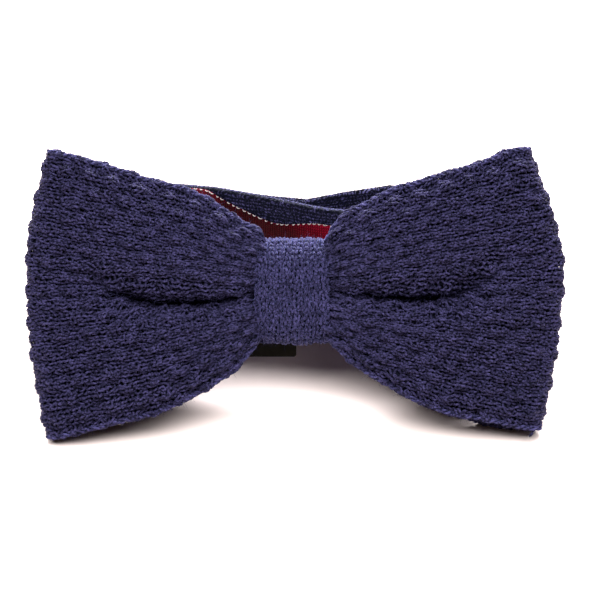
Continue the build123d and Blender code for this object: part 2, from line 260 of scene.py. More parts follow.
def ramp(tree, source, stops):
    """Colour ramp over a value; stops are (place, colour)."""
    node = tree.nodes.new("ShaderNodeValToRGB")
    while len(node.color_ramp.elements) < len(stops):
        node.color_ramp.elements.new(0.5)
    for element, (place, colour) in zip(node.color_ramp.elements, stops):
        element.position = place
        element.color = (*colour, 1.0)
    tree.links.new(source, node.inputs["Fac"])
    return node.outputs["Color"]


def grey(value):
    """Colour without hue."""
    return (value,) * 3


def multiplied(tree, a, b):
    """Two colours multiplied."""
    node = tree.nodes.new("ShaderNodeMix")
    node.data_type = "RGBA"
    node.blend_type = "MULTIPLY"
    node.inputs["Factor"].default_value = 1.0
    tree.links.new(a, node.inputs[6])
    tree.links.new(b, node.inputs[7])
    return node.outputs[2]


def bumped(tree, shader, heights, depth):
    """Relief from heights of 0 to 1, depth in metres."""
    node = tree.nodes.new("ShaderNodeBump")
    set_inputs(node, {"Strength": 1.0, "Distance": depth})
    tree.links.new(heights, node.inputs["Height"])
    tree.links.new(node.outputs["Normal"], shader.inputs["Normal"])


def wool_shine(shader, roughness, sheen):
    """The dull surface of wool with its blue bloom."""
    set_inputs(shader, {
        "Roughness": roughness, "Specular IOR Level": 0.12, "Specular Tint": (0.50, 0.56, 1.0, 1.0),
        "Sheen Weight": sheen, "Sheen Roughness": 0.35, "Sheen Tint": (0.36, 0.40, 1.0, 1.0),
    })


def wool(name, dark, light, sheen):
    """Spun wool: fibre-scale light and dark, over broader changes of shade."""
    material, tree, shader = new_material(name)
    fine = ramp(tree, object_noise(tree, 2300.0, 3.0), [(0.40, dark), (0.56, light)])
    broad = ramp(tree, object_noise(tree, 650.0), [(0.35, grey(0.45)), (0.65, grey(1.0))])
    tree.links.new(multiplied(tree, fine, broad), shader.inputs["Base Color"])
    wool_shine(shader, 0.70, sheen)
    bumped(tree, shader, object_noise(tree, 5200.0, 3.0), 0.00010)
    return material


YARN = wool("navy wool yarn", (0.0026, 0.0023, 0.0044), (0.049, 0.043, 0.116), 0.04)
# a little lighter than the wing yarn, though the same wool: painted light on the knot
KNOT_YARN_PAINTED_LIGHT = wool("navy knot yarn lightened as painted light", (0.002, 0.0016, 0.004), (0.053, 0.047, 0.13), 0.46)
# lighter than the face's yarn, though the same wool: a painted highlight along the fabric's edges
EDGE_YARN_PAINTED_LIGHT = wool("navy edge yarn lightened as painted highlight", (0.01, 0.009, 0.024), (0.07, 0.064, 0.178), 0.35)
# painted shade: this cloth shows only through the holes between stitches, and its near-black colour stands in
# for the shade in them
UNDERCLOTH_PAINTED_SHADE = wool("navy cloth under the stitches painted dark as shade", (0.002, 0.002, 0.004), (0.005, 0.0045, 0.011), 0.0)
FUZZ = wool("loose fibres", (0.03, 0.028, 0.075), (0.1, 0.095, 0.21), 0.2)


def worked(tree, operation, a, b):
    """Result of a Math node on two values, each a socket or a number."""
    node = tree.nodes.new("ShaderNodeMath")
    node.operation = operation
    for value, socket in zip((a, b), node.inputs):
        if isinstance(value, (int, float)):
            socket.default_value = value
        else:
            tree.links.new(value, socket)
    return node.outputs[0]


JERSEY_WALE = 0.92  # pitch of the band's stitches across it
JERSEY_COURSE = 0.86  # and along it


def fine_jersey():
    """The neckband's close knit, laid out by a strap's own length and height, with painted shade in its
    grooves.
    """
    material, tree, shader = new_material("navy band knit")
    attribute = tree.nodes.new("ShaderNodeAttribute")
    attribute.attribute_name = "strap_place"
    apart = tree.nodes.new("ShaderNodeSeparateXYZ")
    tree.links.new(attribute.outputs["Vector"], apart.inputs["Vector"])
    shift = worked(tree, "SUBTRACT", object_noise(tree, 700.0, 1.0), 0.5)
    length = worked(tree, "ADD", apart.outputs["X"], worked(tree, "MULTIPLY", shift, 2.4))
    height = worked(tree, "ADD", apart.outputs["Y"], worked(tree, "MULTIPLY", shift, 0.9))
    off_middle = worked(tree, "PINGPONG", worked(tree, "DIVIDE", height, JERSEY_WALE), 0.5)
    rib = worked(tree, "SUBTRACT", 1.0, worked(tree, "MULTIPLY", off_middle, 1.9))
    course = worked(tree, "DIVIDE", length, JERSEY_COURSE)
    slanted = worked(tree, "ADD", course, worked(tree, "MULTIPLY", off_middle, 0.9))
    swing = worked(tree, "COSINE", worked(tree, "MULTIPLY", slanted, 2 * math.pi), 0.0)
    stitch = worked(tree, "ADD", worked(tree, "MULTIPLY", swing, 0.36), 0.64)
    relief = worked(tree, "MULTIPLY", worked(tree, "POWER", rib, 0.7), stitch)
    strewn = worked(tree, "SUBTRACT", object_noise(tree, 1250.0), 0.5)
    relief = worked(tree, "ADD", relief, worked(tree, "MULTIPLY", strewn, 1.45))
    # painted shade: the colour follows the relief, near black in the grooves between ribs and stitches, with
    # random specks from the strewn noise
    colour = ramp(tree, relief, [(0.40, (0.002, 0.002, 0.004)), (0.92, (0.062, 0.055, 0.145))])
    broad = ramp(tree, object_noise(tree, 400.0), [(0.35, grey(0.55)), (0.65, grey(1.0))])
    tree.links.new(multiplied(tree, colour, broad), shader.inputs["Base Color"])
    wool_shine(shader, 0.75, 0.26)
    bumped(tree, shader, relief, 0.00030)
    return material


BAND = fine_jersey()


def thread_material(name, dark, light):
    """Twisted sewing thread."""
    material, tree, shader = new_material(name)
    colour = ramp(tree, object_noise(tree, 3400.0), [(0.35, dark), (0.65, light)])
    tree.links.new(colour, shader.inputs["Base Color"])
    set_inputs(shader, {"Roughness": 0.7, "Sheen Weight": 0.15})
    bumped(tree, shader, object_noise(tree, 5000.0), 0.00006)
    return material


WHITE_THREAD = thread_material("white sewing thread", (0.16, 0.13, 0.13), (0.46, 0.41, 0.40))
NAVY_THREAD = thread_material("navy sewing thread", (0.018, 0.016, 0.050), (0.045, 0.042, 0.110))


def thread_bands(tree, vector, scale, distortion):
    """Soft light and dark bands across X."""
    bands = tree.nodes.new("ShaderNodeTexWave")
    bands.wave_type = "BANDS"
    bands.bands_direction = "X"
    set_inputs(bands, {"Scale": scale, "Distortion": distortion})
    tree.links.new(vector, bands.inputs["Vector"])
    return bands.outputs["Fac"]


def satin():
    """Red woven ribbon: a fine twill, lighter and darker in random patches, with painted highlight and shade
    along its length.
    """
    material, tree, shader = new_material("red woven ribbon")
    place = tree.nodes.new("ShaderNodeTexCoord").outputs["Object"]
    mapping = tree.nodes.new("ShaderNodeMapping")
    mapping.inputs["Rotation"].default_value = (0.0, math.radians(38.0), 0.0)
    tree.links.new(place, mapping.inputs["Vector"])
    twill = thread_bands(tree, mapping.outputs["Vector"], 900.0, 0.6)
    weave = worked(tree, "MULTIPLY", twill, thread_bands(tree, place, 760.0, 0.0))
    threads = ramp(tree, weave, [(0.05, grey(0.16)), (0.7, grey(1.0))])
    mottled = ramp(tree, object_noise(tree, 900.0), [(0.3, grey(0.6)), (0.7, grey(1.0))])
    apart = tree.nodes.new("ShaderNodeSeparateXYZ")
    tree.links.new(place, apart.inputs["Vector"])
    # painted highlight and shade along X: bright at both ends, where the strap turns to the light, dark
    # between
    across = tree.nodes.new("ShaderNodeMapRange")
    set_inputs(across, {"From Min": -0.022, "From Max": 0.008})
    tree.links.new(apart.outputs["X"], across.inputs["Value"])
    turned = ramp(tree, across.outputs["Result"], [
        (0.0, (0.45, 0.040, 0.075)), (0.10, (0.32, 0.016, 0.035)), (0.19, (0.085, 0.0014, 0.007)),
        (0.70, (0.110, 0.0018, 0.009)), (1.0, (0.34, 0.005, 0.026)),
    ])
    shaded = multiplied(tree, multiplied(tree, turned, threads), mottled)
    tree.links.new(shaded, shader.inputs["Base Color"])
    set_inputs(shader, {
        "Roughness": 0.36, "Specular IOR Level": 0.06, "Specular Tint": (1.0, 0.35, 0.45, 1.0),
    })
    bumped(tree, shader, weave, 0.00016)
    return material


def black_plastic():
    """Satin moulded plastic, slightly uneven in shade and gloss."""
    material, tree, shader = new_material("black moulded plastic")
    dark, light = (0.009, 0.0085, 0.006), (0.016, 0.015, 0.011)
    colour = ramp(tree, object_noise(tree, 500.0, 3.0), [(0.3, dark), (0.7, light)])
    tree.links.new(colour, shader.inputs["Base Color"])
    rough = tree.nodes.new("ShaderNodeMapRange")
    set_inputs(rough, {"To Min": 0.32, "To Max": 0.5})
    tree.links.new(object_noise(tree, 900.0, 3.0), rough.inputs["Value"])
    tree.links.new(rough.outputs["Result"], shader.inputs["Roughness"])
    shader.inputs["Specular IOR Level"].default_value = 0.2
    bumped(tree, shader, object_noise(tree, 2500.0), 0.00003)
    return material


RIBBON_RED = satin()
BLACK = black_plastic()


# ---- wings
EDGE_ROLL = 0.85  # radius the fabric's raw edge rolls back with
EDGE_WALES = 1.5  # wales taken up by that roll
FACE_WALES = 35
ALL_WALES = FACE_WALES + 2 * EDGE_WALES
FACE_END = 52.0  # length along the strip from the waist to the start of a wing's fold
FOLD_LONG = 8.0
FOLD_MIDDLE = FACE_END + FOLD_LONG / 2
FOLD_END = FACE_END + FOLD_LONG
STRIP_END = FOLD_END + FACE_END
FOLD_DEEP = 2.2
FOLD_PROUD = 0.75  # how far yarn reaches past the fold's own line
COURSE = 1.18
YARN_RADIUS = 0.285
YARN_OUT = 1.55  # how far rolled edge and yarn reach past the fabric's edge line
WAIST_X = 1.5
TABLE_CLEAR = 0.25  # least height of a yarn's middle above the table

TOP_EDGE = {
    -1: [(0, 41.2), (6.2, 41.8), (6.9, 44.6), (7.6, 46.2), (8.6, 47.1), (10.3, 47.7), (12, 48.4),
         (14.2, 50.0), (18.2, 52.8), (24, 55.7), (32, 57.5), (36.9, 59.2), (43.6, 61.3),
         (50, 63.1), (54.0, 64.0), (62, 64.4)],
    1: [(0, 41.2), (6.6, 41.4), (7.6, 44.4), (8.4, 46.6), (10.2, 48.7), (12.4, 50.7), (16, 52.4),
        (19.1, 54.0), (22.2, 55.7), (26.7, 56.8), (31.1, 58.3), (39.1, 60.7), (43.6, 62.2),
        (48.2, 64.3), (51.6, 64.5), (62, 64.0)],
}
LOW_EDGE = {
    -1: [(0, 23.2), (6.6, 23.0), (7.8, 21.4), (8.9, 19.6), (11.6, 16.2), (14.2, 13.7), (18.7, 10.7),
         (22.2, 8.7), (25.8, 6.9), (29.8, 5.0), (38.7, 2.8), (48.9, 0.2), (52.4, -0.8), (55.1, -0.3),
         (62, 1.0)],
    1: [(0, 23.2), (6.6, 23.0), (7.6, 21.4), (8.4, 20.4), (12.4, 16.6), (15.6, 14.0), (20.9, 11.1),
        (26.7, 7.6), (33.8, 4.8), (42.7, 3.3), (52.0, 1.2), (55.1, 1.5), (62, 2.2)],
}
OUTER_FOLD = {
    -1: [(-2, 54.8), (1.6, 55.3), (4, 56.0), (13, 57.7), (19, 58.7), (28, 59.4), (34, 59.6), (42, 59.5),
         (48, 58.7), (55, 57.1), (61, 55.6), (66, 54.6)],
    1: [(-2, 54.7), (2, 55.4), (10, 57.1), (17, 58.3), (26, 59.3), (33, 60.2), (39, 60.1), (47, 58.5),
        (55, 55.9), (61, 53.6), (66, 51.9)],
}
CREST = curve([(0, 3.8), (6.6, 3.9), (8.4, 5.4), (10, 6.8), (13, 7.9), (26, 9.0), (42, 7.8),
               (54.6, 4.6), (62, 2.6)])
BACK = curve([(0, 3.8), (8.4, 4.4), (12, 5.2), (30, 5.6), (48, 4.8), (54.6, 3.4), (62, 2.6)])
CREASE_DEEP = curve([(0, 0.4), (7, 1.6), (12, 4.2), (20, 8.3), (30, 9.3), (38, 7.0), (44, 3.0),
                     (50, 0.9), (56, 0.1), (62, 0)], 1.5)
CREASE_WIDE = curve([(0, 1.4), (10, 2.0), (20, 3.0), (32, 3.9), (42, 4.4), (62, 5.0)], 1.5)
CREASE_AT = {
    -1: curve([(0, 32.0), (9, 31.6), (20, 30.8), (30, 30.6), (38, 32.0), (44, 34.4), (62, 38)], 1.5),
    1: curve([(0, 32.2), (9, 32.2), (18, 32.2), (26, 31.6), (34, 31.8), (39, 33.4), (44, 36.2),
              (48, 38.2), (62, 42)], 1.5),
}
FAN_MIDDLE = 32.3  # the wales fan out straight from the waist about this height
FAN_BEND = 2.5  # and bend to the wing's outline only near its edges
BACK_SAG = {-1: 0.0, 1: 0.9}  # how far the back ply hangs below the front one
FAN_HALF = curve([(0, 10.3), (8, 10.3), (57, 30.7), (66, 34.4)])
LOBE_EDGE = 0.60  # how far the face stands out at its upper and lower edges, of its crest
RIM_LOW = 1.6  # height of the fold's lower corner, and its length up to the other
RIM_LONG = 60.8


def wing_place(side):
    """Surface of one looped wing over c, millimetres along the strip, and q, wales up it."""
    top, low = curve(TOP_EDGE[side], 0.7), curve(LOW_EDGE[side], 0.7)
    fold_line = curve(OUTER_FOLD[side], 1.5)
    crease_at = CREASE_AT[side]
    shade = noise(11 + side)

    def front_n(x, s, lobe):
        """The face's height: crest, less crease, with soft swells away from the waist."""
        up = s - crease_at(x)
        wide = CREASE_WIDE(x) * np.where(up > 0, 0.75, 1.15)
        swell = 0.5 * shade(x / 9.0, s / 7.0) + 0.3 * shade(x / 4.0 + 20, s / 4.5)
        return CREST(x) * lobe - CREASE_DEEP(x) * bell(up, wide) + swell * smooth((x - 9) / 8)

    def place(c, q):
        v = (q - EDGE_WALES) / FACE_WALES * 2 - 1
        over = np.maximum(np.abs(v) - 1, 0) * FACE_WALES / 2
        edge = np.sign(v)
        v = np.clip(v, -1, 1)
        above, below = np.maximum(v, 0), np.maximum(-v, 0)
        lobe = LOBE_EDGE + (1 - LOBE_EDGE) * np.sqrt(1 - np.minimum(np.abs(v), 0.999) ** 2.4)
        turn_x = fold_line(RIM_LOW + RIM_LONG * (1 + v) / 2) - FOLD_PROUD - FOLD_DEEP
        out = np.clip(c / FACE_END, 0, 1)
        turn = np.clip((c - FACE_END) / FOLD_LONG, 0, 1) * np.pi
        home = np.clip((c - FOLD_END) / FACE_END, 0, 1)
        x = WAIST_X + (turn_x - WAIST_X) * (out - home) + FOLD_DEEP * np.sin(turn)
        # height up the face: an even fan, its edge wales pushed out to the outline
        fan = FAN_HALF(x)
        spare_up = top(x) - YARN_OUT - FAN_MIDDLE - fan
        spare_down = FAN_MIDDLE - fan - low(x) - YARN_OUT
        behind = smooth((c - FOLD_END) / 4)
        s = FAN_MIDDLE + v * fan - BACK_SAG[side] * behind * bell(x - 44, 7) * below**4
        s = s + spare_up * above**FAN_BEND - spare_down * below**FAN_BEND
        # out of the face: the front ply, a half turn at the fold, then the back ply
        face_n = front_n(np.minimum(x, turn_x), s, lobe)
        back_n = -BACK(x) * lobe
        middle, half = (face_n + back_n) / 2, (face_n - back_n) / 2
        n = np.where(c < FACE_END, face_n, middle + half * np.cos(turn))
        n = np.where(c > FOLD_END, back_n, n)
        # the crease's upper lip hangs over it
        lip = CREASE_DEEP(x) / 7.4 * (c < FACE_END + 2) * bell(s - crease_at(x) - 2.3, 1.9)
        s = s - 1.7 * lip
        # the raw edge rolls back
        roll = over / EDGE_ROLL
        back_off = EDGE_ROLL * (1 - np.cos(roll))
        s = s + edge * EDGE_ROLL * np.sin(roll)
        return np.stack([side * (x - back_off * np.sin(turn)), s, n - back_off * np.cos(turn)], axis=-1)

    return place


LUMP_PITCH = 5.9  # along the strip, each row half a pitch on from the last
LUMP_WALES = 2.0
LUMP_TALL = 1.65
LUMP_TALL_BEHIND = 1.10


def blister(side, place):
    """Height of the raised pattern: lumps two wales high, staggered from row to row."""
    stray, fine = noise(31 + side), noise(41 + side)
    crease_at = CREASE_AT[side]

    def height(c, q):
        row = np.floor(q / LUMP_WALES)
        rib = np.abs(np.sin(np.pi * (q / LUMP_WALES - row))) ** 0.8
        phase = c / LUMP_PITCH + 0.5 * row + 0.22 * stray(c / 9.0, row * 1.7)
        lump = 0.5 + 0.5 * np.cos(2 * np.pi * phase)
        tall = LUMP_TALL + (LUMP_TALL_BEHIND - LUMP_TALL) * smooth((c - FACE_END) / FOLD_LONG)
        raised = tall * rib * lump**1.8 - 0.45 * (1 - rib) + 0.18 * fine(c / 2.2, q / 1.1)
        # lower near the strip's edges, round the fold and down in the crease
        in_from_edge = smooth(np.minimum(q, ALL_WALES - q) / 3.0)
        off_fold = 1 - 0.60 * bell(c - FOLD_MIDDLE, 3.5)
        spot = place(c, q)
        x, s = np.abs(spot[..., 0]), spot[..., 1]
        in_crease = bell(s - crease_at(x), 2.8) * (CREASE_DEEP(x) / 9) * (c < FACE_END)
        return raised * (0.25 + 0.75 * in_from_edge) * off_fold * (1 - 0.8 * in_crease)

    return height


def knit(place, height, first, last, course, wales, side_sign, seed, radius, seg=11, sides=5,
         deep=0.42, rise=0.84, sway=1.42, calm_at=None):
    """Rows of linked loops over a surface, one yarn to each row.

    A loop reaches rise courses up and down, leans sway over its neighbours and dips by deep. Near
    calm_at along the strip the loops lie flatter.
    """
    rng = np.random.default_rng(seed)
    rows = np.arange(first, last, course)
    loop = np.arange(int(wales * seg) + 1)[None, :] / seg
    t = loop * 2 * np.pi
    drift_c, drift_q, thick = noise(seed + 1), noise(seed + 2), noise(seed + 3)
    start = rng.uniform(-0.08, 0.08, len(rows))[:, None]
    q = np.clip(loop + sway / (2 * np.pi) * np.sin(2 * t) + start, -0.4, wales + 0.4)
    number = np.arange(len(rows))[:, None]
    loose = 1.0
    if calm_at is not None:
        loose = 1 - 0.75 * bell(rows[:, None] - calm_at, 3.5)
    c = rows[:, None] + rise * course * np.cos(t)
    c = c + 0.22 * drift_c(loop * 1.3, number * 1.9) + 0.20 * drift_c(loop * 3.1 + 5, number * 2.9)
    q = q + 0.16 * drift_q(loop * 1.1, number * 1.7) + 0.14 * drift_q(loop * 3.7 + 3, number * 2.3)
    lift = height(c, q) - deep * loose * np.cos(2 * t)
    lift = lift + 0.26 * loose * drift_q(loop * 2.3 + 9, number * 2.1)
    points, normal = lifted(place, c, q, lift * side_sign)
    normal = normal * side_sign
    radii = radius * (1 + 0.20 * thick(loop * 2.7, number * 1.3))
    radii[:, 0] = radii[:, -1] = YARN_TIP
    lines = above_table(room(points), TABLE_CLEAR)
    return tubes(lines, room(normal) - ORIGIN, radii, sides)


TWIST_PITCH = 3.3
TWIST_OUT = 0.50  # how far the selvedge's middle stands off the fabric
SELVEDGE_RADIUS = 0.28


def edge_chain(place, q_edge, side_sign, first, last, turned):
    """Two-strand twist along the fabric's edge, as its last stitches lie."""
    c = np.arange(first, last, 0.22)
    q = np.full_like(c, q_edge)
    seat, normal = lifted(place, c, q, 0.0 * c)
    normal = normal * side_sign
    aside = unit(place(c, q + 0.2) - place(c, q - 0.2))
    wander = noise(701)
    phase = 2 * np.pi * c / TWIST_PITCH * turned + 0.8 * wander(c / 4.0, 0.0 * c)
    lines = []
    for start in (0.0, np.pi):
        line = seat + normal * (TWIST_OUT + 0.30 * np.cos(phase + start))[:, None]
        lines.append(line + aside * (0.34 * np.sin(phase + start))[:, None])
    lines = above_table(room(np.array(lines)), TABLE_CLEAR)
    ups = np.broadcast_to(room(normal) - ORIGIN, lines.shape)
    radii = SELVEDGE_RADIUS * (1 + 0.15 * wander(c / 1.7, 7.0 + 0 * c)) * np.ones((2, 1))
    return tubes(lines, ups, radii, 6)


BASE_UNDER = 0.72  # how far the cloth lies below the stitches' middle
BASE_THICK = 1.7


def base_cloth(place, height, side_sign):
    """Closed cloth below the stitches, which its outer face follows; its near-black colour is painted shade
    in the holes between them.
    """
    c_values = np.linspace(0.0, STRIP_END, 190)
    c, q = np.meshgrid(c_values, np.linspace(0.15, ALL_WALES - 0.15, 118), indexing="ij")
    outer, normal = lifted(place, c, q, 0.0 * c)
    outer = outer + normal * side_sign * (height(c, q) - BASE_UNDER)[..., None]
    flat_q = np.clip(q, EDGE_WALES + 0.02, ALL_WALES - EDGE_WALES - 0.02)
    inner, normal = lifted(place, c, flat_q, 0.0 * c)
    inner = inner - normal * side_sign * BASE_THICK
    return shell(room(outer)[:, ::side_sign], room(inner)[:, ::side_sign])


EDGE_CHAIN_IN = 1.0  # wales from the strip's edge to its selvedge
GATHER = 4.2  # length of strip at each end that the knot hides, left without stitches
bow_parts = []
base_parts = []
fibre_seats = []
for side in (-1, 1):
    place = wing_place(side)
    height = blister(side, place)
    sign = -side
    name = "left" if side < 0 else "right"
    for half, first, last in (("front", GATHER, FOLD_MIDDLE), ("back", FOLD_MIDDLE, STRIP_END - GATHER)):
        points, faces = knit(
            place, height, first, last, COURSE, ALL_WALES, sign, 100 + side * 7 + len(half), YARN_RADIUS,
            calm_at=FOLD_MIDDLE,
        )
        bow_parts.append(make_mesh(f"wing_{name}_{half}_stitches", points, faces, YARN))
        points, faces = joined([
            edge_chain(place, q_edge, sign, first + 1.5, last - 1.5, turned)
            for q_edge, turned in ((EDGE_CHAIN_IN, 1), (ALL_WALES - EDGE_CHAIN_IN, -1))
        ])
        bow_parts.append(make_mesh(f"wing_{name}_{half}_selvedge", points, faces, EDGE_YARN_PAINTED_LIGHT))
    base_parts.append(base_cloth(place, height, sign))
    fibre_seats.append((place, height, sign))

points, faces = joined(base_parts)
bow_base = make_mesh("bow_loop_cloth", above_table(points, 0.05), faces, UNDERCLOTH_PAINTED_SHADE)
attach(bow_base, "bow")
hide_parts("bow_loop")
for part in bow_parts:
    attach(part, "bow")

# ---- knot wrap
WRAP_MIDDLE = 32.45
WRAP_HALF_S = 11.1
WRAP_HALF_N = 7.35
WRAP_BACK_N = 6.35  # flatter behind, so that the hook has room to swing
WRAP_SQUARE = 2.2  # 2 would be an ellipse; more has squarer shoulders
WRAP_HALF_X = 6.75
WRAP_FLARE = 0.35  # how much wider, and further right, it is at its lower end
WRAP_WAIST = 0.35  # how far its middle stands in from its sides
KNOT_WALES = 9
KNOT_EDGE = 0.9  # wales in each rolled edge
KNOT_ROLL = 0.8  # radius of that roll
KNOT_ALL = KNOT_WALES + 2 * KNOT_EDGE
turns = np.linspace(0, 2 * np.pi, 1441)
power = 2 / WRAP_SQUARE
loop_s = WRAP_MIDDLE - WRAP_HALF_S * np.sign(np.cos(turns)) * np.abs(np.cos(turns)) ** power
loop_n = np.where(np.sin(turns) > 0, WRAP_HALF_N, -WRAP_BACK_N) * np.abs(np.sin(turns)) ** power
loop_c = np.concatenate([[0], np.cumsum(np.hypot(np.diff(loop_s), np.diff(loop_n)))])
KNOT_LONG = loop_c[-1]
KNOT_COURSE = KNOT_LONG / round(KNOT_LONG / 1.28)


def knot_place(c, q):
    """Surface of the knot wrap: c round the waist, up its front first, and q across it."""
    around = np.mod(c, KNOT_LONG)
    s, n = np.interp(around, loop_c, loop_s), np.interp(around, loop_c, loop_n)
    v = (q - KNOT_EDGE) / KNOT_WALES * 2 - 1
    over = np.maximum(np.abs(v) - 1, 0) * KNOT_WALES / 2
    edge = np.sign(v)
    v = np.clip(v, -1, 1)
    flare = WRAP_FLARE * smooth((WRAP_MIDDLE + 9 - s) / 20)
    roll = over * 1.45 / KNOT_ROLL
    x = -0.5 + flare + v * (WRAP_HALF_X + flare) + edge * KNOT_ROLL * np.sin(roll)
    shrink = (KNOT_ROLL * (1 - np.cos(roll)) + WRAP_WAIST * v**2) / WRAP_HALF_S
    s = WRAP_MIDDLE + (s - WRAP_MIDDLE) * (1 - shrink)
    n = n * (1 - shrink * WRAP_HALF_S / WRAP_HALF_N)
    return np.stack([x, s, n], axis=-1)


knot_lump = noise(77)


def knot_height(c, q):
    """The wrap's slight unevenness."""
    return 0.14 * knot_lump(c / 2.6, q / 1.2) + 0.18 * knot_lump(c / 7.0 + 7, q / 3.0)


points, faces = knit(
    knot_place, knot_height, 0.0, KNOT_LONG - 0.5 * KNOT_COURSE, KNOT_COURSE, KNOT_ALL, 1, 300, 0.295,
    seg=16, sides=7, deep=0.55, rise=0.88, sway=1.30,
)
knot_stitches = make_mesh("knot_wrap_stitches", points, faces, KNOT_YARN_PAINTED_LIGHT)
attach(knot_stitches, "bow")

# the closed cloth band under those stitches, near black as painted shade in the holes between them
c, q = np.meshgrid(np.linspace(0, KNOT_LONG, 150)[:-1], np.linspace(0.1, KNOT_ALL - 0.1, 40), indexing="ij")
outer, normal = lifted(knot_place, c, q, knot_height(c, q) - 0.66)
flat_q = np.clip(q, KNOT_EDGE + 0.02, KNOT_ALL - KNOT_EDGE - 0.02)
inner, normal = lifted(knot_place, c, flat_q, -1.5 + 0.0 * c)
index = np.arange(c.size).reshape(c.shape)
ahead = np.roll(index, -1, axis=0)
faces = [
    quads(index[:, :-1], ahead[:, :-1], ahead[:, 1:], index[:, 1:]),
    quads(index[:, 1:], ahead[:, 1:], ahead[:, :-1], index[:, :-1]) + c.size,
    quads(index[:, -1], ahead[:, -1], ahead[:, -1] + c.size, index[:, -1] + c.size),
    quads(index[:, 0] + c.size, ahead[:, 0] + c.size, ahead[:, 0], index[:, 0]),
]
points = np.concatenate([room(outer).reshape(-1, 3), room(inner).reshape(-1, 3)])
knot_base = make_mesh("knot_wrap_cloth", points, np.concatenate(faces), UNDERCLOTH_PAINTED_SHADE)
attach(knot_base, "bow")
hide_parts("knot_wrap")

# ---- straps of the neckband
BAND_WIDE = 21.0
BAND_THICK = 1.8
TAIL_THICK = 1.6
HOOK_S = 29.7  # middle of the hook plate up the face
SEWN_S = 31.3  # middle of the band's end, sewn behind the knot
SLIDE_X = 36.0
SLIDE_Y = 50.1 + FOOT_Y
SLIDE_Z = 13.0
KNOT_THICK = 14.6
PIVOT_N = -9.9  # the hinge's axis on the eye's bar
PLATE_HALF = 0.6  # half the hook plate's thickness, and the eye wire's radius
CATCH_GAP = 0.3  # between the eye's bar and the hook
BIGHT_GAP = 0.15  # between the hook plate and the strap round it
KNOT_BACK_N = -KNOT_THICK / 2 - BAND_THICK / 2 - 0.02
PLATE_N = PIVOT_N - CATCH_GAP - 2 * PLATE_HALF
BIGHT_HALF = PLATE_HALF + BIGHT_GAP + TAIL_THICK / 2
BEND_AT = (-44.5, 52.15)  # middle of the left bend
BEND_RADIUS = 10.75
TAIL_RADIUS = BEND_RADIUS + (BAND_THICK + TAIL_THICK) / 2 + 0.45


def plane_point(x, n, heading, lean):
    """Station of a strap at x and n of the bow's plane, level with its sewn end."""
    x, y, z = in_room(x, SEWN_S, n)
    return (x, y, z, heading, lean)


def at(x, y, z, heading, lean=0):
    """Station of a strap: its middle, with y from the bow's foot, its heading and its lean."""
    return (x, y + FOOT_Y, z, heading, lean)


def bend(centre, radius, start, end, z, turned=90):
    """Stations round part of a circle."""
    found = []
    for angle in np.radians(np.linspace(start, end, 9)):
        x, y = centre[0] + radius * math.cos(angle), centre[1] + radius * math.sin(angle)
        found.append(at(x, y, z, math.degrees(angle) + turned))
    return found


RIGHT_RUN = [
    plane_point(3.4, KNOT_BACK_N, 0, 40), plane_point(10.5, KNOT_BACK_N, 0, 40),
    at(19, 28.0, 16.6, 8, 36), at(30, 30.4, 15.4, 14, 24), at(41, 33.9, 13.8, 18, 10),
]
RIGHT_BEND = bend((46.5, 43.2), 6.9, -70, 90, SLIDE_Z)
FAR_RUN = [
    at(34, 50.1, 13.0, 180), at(22, 50.1, 13.0, 180), at(16, 50.7, 12.6, 172), at(6, 53.7, 11.8, 163),
    at(-6, 57.5, 11.8, 163, -1), at(-18, 61.1, 11.6, 164, -2), at(-30, 63.5, 11.1, 173),
    at(-41, 63.3, 10.8, 187),
]
LEFT_BEND = bend(BEND_AT, BEND_RADIUS, 104, 250, 10.8)
LEFT_RUN = [at(-40, 38.9, 11.4, -30, 8), at(-31, 34.6, 13.2, -22, 22)]
TAIL_RUN = [at(-31, 31.2, 13.0, 160, -22), at(-41, 35.3, 11.4, 150, -8)]
TAIL_BEND = bend(BEND_AT, TAIL_RADIUS, 250, 104, 10.8, turned=270)
TAIL_FAR = [
    at(-30, 65.8, 9.6, -6, -3), at(-18, 63.6, 10.0, -14, -2), at(-6, 60.3, 10.2, -14, -2),
    at(3, 57.8, 10.9, -2), at(12, 59.3, 11.9, 8),
]
UP = np.array([0.0, 0.0, 1.0])


def station_vectors(stations):
    """Middles and up directions of a strap's stations."""
    stations = np.array(stations, float)
    heading, lean = np.radians(stations[:, 3]), np.radians(stations[:, 4])
    aside = np.stack([-np.sin(heading), np.cos(heading), 0 * heading], -1)
    up = aside * np.sin(lean)[:, None] + UP * np.cos(lean)[:, None]
    return list(stations[:, :3]), list(up)


def strap_path(points, ups, step=0.32, spread=1.6):
    """Evenly spaced middles of a strap, their places along it, and its up and outward directions."""
    points, ups = np.array(points, float), np.array(ups, float)
    gone = np.concatenate([[0], np.cumsum(np.linalg.norm(np.diff(points, axis=0), axis=1))])
    places = np.arange(0, gone[-1] + step / 2, step)

    def even(values):
        found = np.stack([np.interp(places, gone, column) for column in values.T], -1)
        return smoothed(found, step, spread, int(3 * spread / step))

    centre, up = even(points), unit(even(ups))
    along = unit(np.gradient(centre, axis=0))
    up = unit(up - along * np.sum(up * along, -1, keepdims=True))
    return places, centre, up, np.cross(up, along)


band_wobble = noise(501)
RELIEF_WALE = 1.25
RELIEF_COURSE = 0.95
STRAP_SKIN = 0.12  # left of the strap's thickness for the relief
OTHER_FACE = 40.0  # sets the two faces' reliefs apart


def strap_relief(length, height):
    """Height of a fine flat knit: ribs with slanted stitches on them."""
    across = height / RELIEF_WALE
    rib = np.abs(np.cos(np.pi * across))
    slant = np.abs(across - np.round(across))
    stitch = 0.5 + 0.5 * np.cos(2 * np.pi * (length / RELIEF_COURSE + 0.9 * slant))
    return 0.15 * rib + 0.12 * stitch * rib + 0.06 * band_wobble(length / 1.3, height / 1.1)


